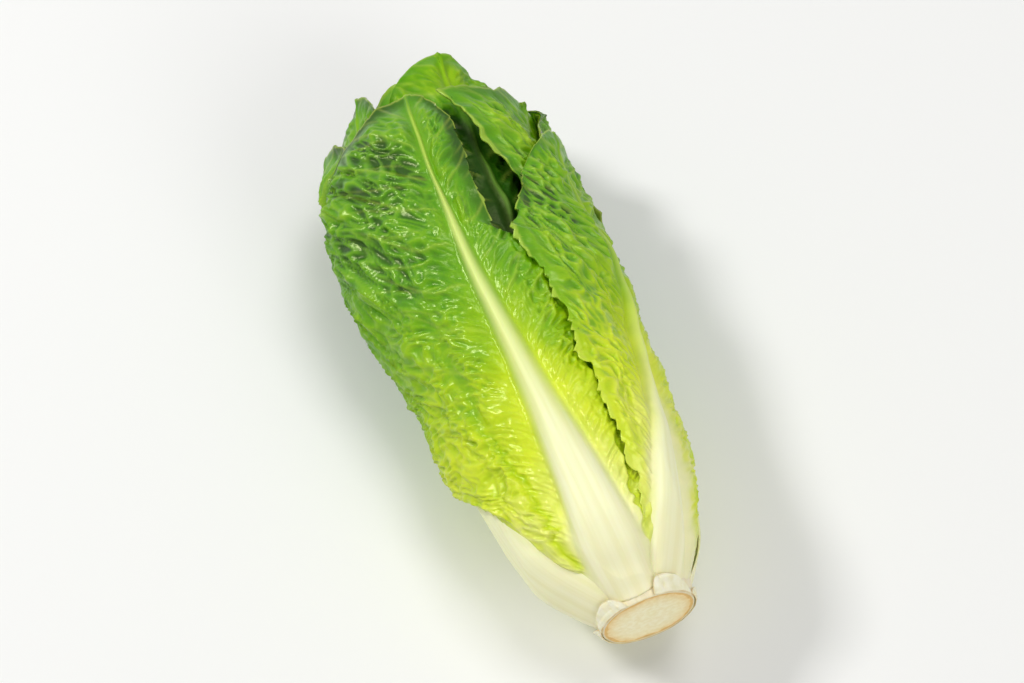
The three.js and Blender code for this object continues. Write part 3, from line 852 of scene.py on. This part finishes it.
def leaf_material(name, colours, roughness, specular):
    """Blade, veins and rib in one finish: glossy crinkled blade, and a pale streaked rib."""
    material, tree, shader = new_material(name)
    link = tree.links.new
    tone = {key: node(tree, "ShaderNodeAttribute", attribute_name=key).outputs["Fac"] for key in TONES}
    blade = ramp_of(tree, colours, tone["green"])
    mottle = ramp_of(tree, [(0.35, "e2ecc8"), (0.65, "ffffff")], leaf_noise(tree, 7, 9, 3.0))
    blade = mixed(tree, 0.6, blade, mottle, "MULTIPLY")
    lighter = mixed(tree, 0.5, blade, srgb("d2e45c"))
    blade = mixed(tree, tone["light"], blade, lighter)
    streaks = leaf_noise(tree, 1.8, 60, 2.0)
    rib = ramp_of(tree, RIB_COLOURS, tone["rise"])
    rib = mixed(tree, 0.3, rib, ramp_of(tree, [(0.35, "eeeac4"), (0.6, "ffffff")], streaks), "MULTIPLY")
    link(mixed(tree, tone["white"], blade, rib), shader.inputs["Base Color"])
    bumped(tree, shader, mixed(tree, tone["white"], leaf_noise(tree, 2.2, 1.8, 1.0), streaks), 0.245, 0.0006)
    gloss = node(tree, "ShaderNodeMapRange")
    gloss.inputs["To Min"].default_value = roughness
    gloss.inputs["To Max"].default_value = RIB_ROUGHNESS
    link(tone["white"], gloss.inputs["Value"])
    link(gloss.outputs["Result"], shader.inputs["Roughness"])
    shader.inputs["Specular IOR Level"].default_value = specular
    shader.inputs["Specular Tint"].default_value = (0.95, 1.0, 0.55, 1.0)
    lit_through(shader, 0.12, (0.6, 1.0, 0.12), 0.002)
    return material


def trimmed_material():
    """Cream scales whose cut edges have dried tan."""
    material, tree, shader = new_material("trimmed_leaf_base")
    edge = node(tree, "ShaderNodeAttribute", attribute_name="light").outputs["Fac"]
    cream = ramp_of(tree, [(0.3, "f0e8bc"), (0.7, "fcf7dc")], leaf_noise(tree, 2.5, 4, 3.0))
    tree.links.new(mixed(tree, edge, cream, srgb("d9b478")), shader.inputs["Base Color"])
    bumped(tree, shader, leaf_noise(tree, 1.4, 3, 2.0), 0.3, 0.0004)
    shader.inputs["Roughness"].default_value = 0.45
    lit_through(shader, 0.3, (1.0, 0.8, 0.4), 0.002)
    return material


def stem_material():
    """The cut face: cream, mottled, with a browned rim. The stem's side is plain cream."""
    material, tree, shader = new_material("stem_cut")
    middle = node(tree, "ShaderNodeAttribute", attribute_name="from_middle").outputs["Fac"]
    waver = maths(tree, "MULTIPLY_ADD", leaf_noise(tree, 22, 22, 3.0), 0.16, middle)
    face = ramp_of(tree, [
        (0.0, "faf2cc"), (0.6, "faf2cc"), (0.84, "f8eabc"), (0.98, "f2d698"), (1.02, "ecc678"),
        (1.1, "e6bc6c"),
    ], waver)
    cut = node(tree, "ShaderNodeAttribute", attribute_name="cut").outputs["Fac"]
    face = mixed(tree, cut, srgb("f2e8c8"), face)
    speckle = ramp_of(tree, [(0.4, "f2eacc"), (0.62, "ffffff")], leaf_noise(tree, 12, 12, 5.0))
    tree.links.new(mixed(tree, 0.5, face, speckle, "MULTIPLY"), shader.inputs["Base Color"])
    bumped(tree, shader, leaf_noise(tree, 9, 9, 4.0), 0.35, 0.0005)
    shader.inputs["Roughness"].default_value = 0.5
    lit_through(shader, 0.3, (1.0, 0.8, 0.4), 0.003)
    return material


# ---- The dressed head ----
def finish_piece(piece, name, material):
    """Shows the piece in place of its CAD node."""
    piece.data.materials.clear()
    piece.data.materials.append(material)
    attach(piece, "root")
    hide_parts(name)


outer_finish = leaf_material("outer_leaf", BLADE_COLOURS, 0.28, 0.42)
inner_finish = leaf_material("inner_leaf", BLADE_COLOURS, 0.42, 0.25)
heart_finish = leaf_material("heart_leaf", HEART_COLOURS, 0.42, 0.3)
for leaf, sheet in laid:
    name = leaf["name"]
    if name.startswith("heart"):
        finish, slot = heart_finish, "heart_leaf"
    elif name.startswith("inner"):
        finish, slot = inner_finish, "inner_leaf"
    else:
        finish, slot = outer_finish, "outer_leaf"
    finish_piece(leaf_piece(name, sheet, FINE_STEP), name, finish)
trimmed_finish = trimmed_material()
for leaf, sheet in collar:
    finish_piece(leaf_piece(leaf["name"], sheet, 1), leaf["name"], trimmed_finish)
finish_piece(stem_piece(), "stem", stem_material())


# ---- Floor, light and camera ----
def looked_at(tree):
    """1 where the backdrop is looked at, also through gloss or glass, and 0 where it gives light."""
    path = node(tree, "ShaderNodeLightPath").outputs
    mirrored = maths(tree, "MAXIMUM", path["Is Glossy Ray"], path["Is Transmission Ray"])
    return maths(tree, "MAXIMUM", path["Is Camera Ray"], mirrored)


def floor_paint():
    """White paint near the head, where it takes the shadow, which runs out into open white."""
    material, tree, shader = new_material("floor_white")
    link = tree.links.new
    shader.inputs["Base Color"].default_value = srgb("f2f2f0")
    shader.inputs["Roughness"].default_value = 0.9
    from_head = node(tree, "ShaderNodeVectorMath", operation="LENGTH")
    link(node(tree, "ShaderNodeTexCoord").outputs["Object"], from_head.inputs[0])
    far_off = node(tree, "ShaderNodeMapRange", interpolation_type="SMOOTHSTEP")
    far_off.inputs["From Min"].default_value = 0.3
    far_off.inputs["From Max"].default_value = 0.9
    link(from_head.outputs["Value"], far_off.inputs["Value"])
    run_out = node(tree, "ShaderNodeMixShader")
    link(maths(tree, "MULTIPLY", far_off.outputs["Result"], looked_at(tree)), run_out.inputs[0])
    link(shader.outputs["BSDF"], run_out.inputs[1])
    link(node(tree, "ShaderNodeEmission").outputs["Emission"], run_out.inputs[2])
    link(run_out.outputs["Shader"], tree.nodes["Material Output"].inputs["Surface"])
    return material


all_deselected()
bpy.ops.mesh.primitive_plane_add(size=6, location=(0, 0, 0))
floor = bpy.context.object
floor.name = "floor"
floor.data.materials.append(floor_paint())

WORLD_LIGHT = 0.3  # what the open white gives the head from all round
world = bpy.data.worlds.new("studio")
bpy.context.scene.world = world
world.use_nodes = True
sky = world.node_tree
sky.nodes["Background"].inputs["Color"].default_value = (1, 1, 1, 1)
shown = maths(sky, "MULTIPLY_ADD", looked_at(sky), 1 - WORLD_LIGHT, WORLD_LIGHT)
sky.links.new(shown, sky.nodes["Background"].inputs["Strength"])


def soft_light(name, place_at, size, power):
    """A square lamp that faces the head. Metres and watts."""
    data = bpy.data.lights.new(name, "AREA")
    data.shape = "SQUARE"
    data.size = size
    data.energy = power
    lamp = bpy.data.objects.new(name, data)
    lamp.location = place_at
    lamp.rotation_euler = (-Vector(place_at)).to_track_quat("-Z", "Y").to_euler()
    bpy.context.scene.collection.objects.link(lamp)


soft_light("key", (-1.3, 0.9, 1.7), 0.45, 25)
soft_light("top", (0.5, 0.2, 2.2), 0.9, 14.5)
soft_light("fill", (0.7, -2.2, 1.5), 1.4, 20)

AZIMUTH, ELEVATION, DISTANCE, LENS = math.radians(-20.7), math.radians(58.2), 1.6, 148
back = Vector((
    math.sin(AZIMUTH) * math.cos(ELEVATION),
    -math.cos(AZIMUTH) * math.cos(ELEVATION),
    math.sin(ELEVATION),
))
lens = bpy.data.cameras.new("camera")
lens.lens = LENS
camera = bpy.data.objects.new("camera", lens)
aim = Vector((0, 0.002, 0.04))
camera.location = aim + back * DISTANCE
camera.rotation_euler = back.to_track_quat("Z", "Y").to_euler()
bpy.context.scene.collection.objects.link(camera)
bpy.context.scene.camera = camera
bpy.context.scene.view_settings.view_transform = "Standard"
